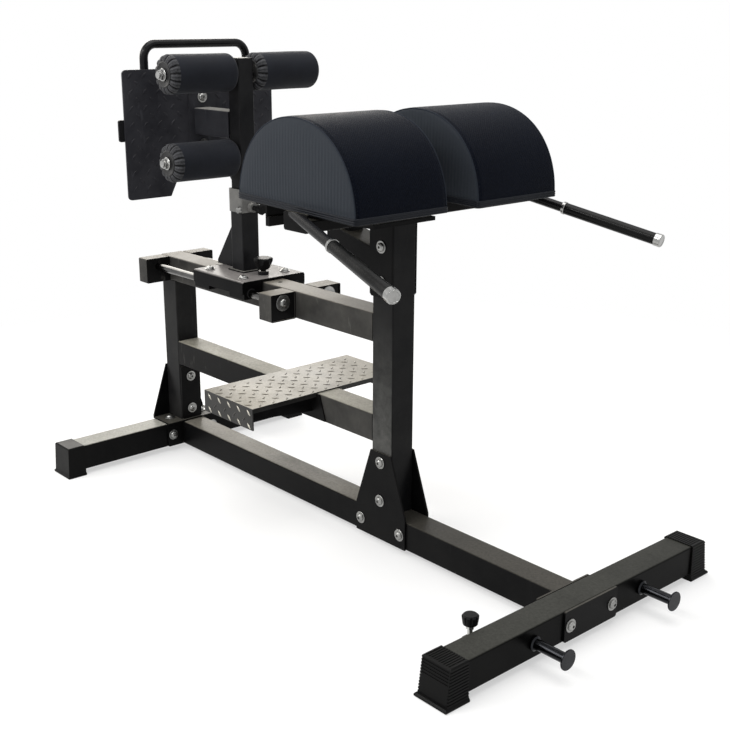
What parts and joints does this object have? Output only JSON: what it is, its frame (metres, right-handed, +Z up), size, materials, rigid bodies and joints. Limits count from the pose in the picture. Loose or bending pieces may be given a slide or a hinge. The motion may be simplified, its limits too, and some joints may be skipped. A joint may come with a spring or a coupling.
{
  "type": "glute ham developer",
  "caption": "Floor-standing glute ham developer with half-round hip pads, a sliding foot plate with foam ankle rollers, swept handles, a step and band pegs on a square-tube frame",
  "frame": {"origin": "on the floor under the middle of the machine's bounding box", "axes": "+X points from the foot plate to the hip pads' handles, along the rails; +Y points to the far side in the picture; +Z is up"},
  "size_m": [1.7854, 0.928, 1.267],
  "materials": {
    "frame_black": "satin",
    "rubber_black": "matte",
    "bright_steel": "polished",
    "black_chrome": "polished",
    "pad_vinyl": "satin",
    "board": "matte",
    "knob_plastic": "satin",
    "roller_foam": "matte"
  },
  "bodies": {
    "frame": {"front_foot_bar": "frame_black", "rear_foot_bar": "frame_black", "front_foot_caps": "rubber_black", "rear_foot_caps": "rubber_black", "main_rail": "frame_black", "front_clamp_plate": "frame_black", "base_bolts": "bright_steel", "rear_upright": "frame_black", "rear_base_bracket": "frame_black", "rear_bracket_bolts": "bright_steel", "front_upright": "frame_black", "lower_gusset_plates": "frame_black", "lower_gusset_bolts": "bright_steel", "middle_rail": "frame_black", "step_plate": "frame_black", "step_bracket": "frame_black", "step_bolt": "bright_steel", "slide_beam": "frame_black", "rear_rod_brackets": "frame_black", "front_rod_brackets": "frame_black", "guide_rods": "black_chrome", "rod_bolts": "bright_steel", "pad_side_plates": "frame_black", "pad_bracket_bolts": "bright_steel", "pad_saddle": "frame_black", "pad_strut": "frame_black", "cross_tube": "frame_black", "pad_boards": "board", "hip_pad_near": "pad_vinyl", "hip_pad_far": "pad_vinyl", "handle_tubes": "frame_black", "handle_grips": "rubber_black", "handle_rings": "bright_steel", "band_pegs": "black_chrome", "level_lug": "frame_black"},
    "leveller": {"level_knob": "knob_plastic"},
    "carriage": {"carriage_plate": "frame_black", "bearing_housings": "frame_black", "rod_bushes": "knob_plastic", "carriage_bolts": "bright_steel", "outer_post": "frame_black", "post_collar": "frame_black", "collar_set_bolt": "bright_steel"},
    "slide_pin": {"slide_pin_knob": "knob_plastic"},
    "height_pin": {"height_pin_knob": "knob_plastic"},
    "roller_head": {"inner_post": "frame_black", "foot_plate_stub": "frame_black", "foot_plate": "frame_black", "plate_stiffener": "frame_black", "plate_bolts": "bright_steel", "loop_handle": "frame_black", "roller_axles": "bright_steel", "axle_nuts": "bright_steel"},
    "top_near_roller": {"top_roller_near": "roller_foam"},
    "top_far_roller": {"top_roller_far": "roller_foam"},
    "bottom_near_roller": {"bottom_roller_near": "roller_foam"},
    "bottom_far_roller": {"bottom_roller_far": "roller_foam"}
  },
  "joints": [
    {"name": "carriage_slide", "type": "slide", "parent": "frame", "child": "carriage", "axis": [1, 0, 0], "range_m": [-0.237, 0.089]},
    {"name": "head_slide", "type": "slide", "parent": "carriage", "child": "roller_head", "axis": [0, 0, 1], "range_m": [-0.035, 0.09]},
    {"name": "slide_pin_pull", "type": "slide", "parent": "carriage", "child": "slide_pin", "axis": [0, 0, 1], "range_m": [0, 0.012], "stiffness_N_per_m": 400, "springref_m": -0.005},
    {"name": "height_pin_pull", "type": "slide", "parent": "carriage", "child": "height_pin", "axis": [1, 0, 0], "range_m": [0, 0.012], "stiffness_N_per_m": 400, "springref_m": -0.01},
    {"name": "leveller_turn", "type": "hinge", "parent": "frame", "child": "leveller", "pos_m": [0.6917, -0.275, 0.05], "axis": [0, 0, 1], "continuous": true},
    {"name": "top_near_roller_turn", "type": "hinge", "parent": "roller_head", "child": "top_near_roller", "pos_m": [-0.4793, 0, 1.183], "axis": [0, 1, 0], "continuous": true},
    {"name": "top_far_roller_turn", "type": "hinge", "parent": "roller_head", "child": "top_far_roller", "pos_m": [-0.4793, 0, 1.183], "axis": [0, 1, 0], "continuous": true},
    {"name": "bottom_near_roller_turn", "type": "hinge", "parent": "roller_head", "child": "bottom_near_roller", "pos_m": [-0.4793, 0, 0.953], "axis": [0, 1, 0], "continuous": true},
    {"name": "bottom_far_roller_turn", "type": "hinge", "parent": "roller_head", "child": "bottom_far_roller", "pos_m": [-0.4793, 0, 0.953], "axis": [0, 1, 0], "continuous": true}
  ]
}
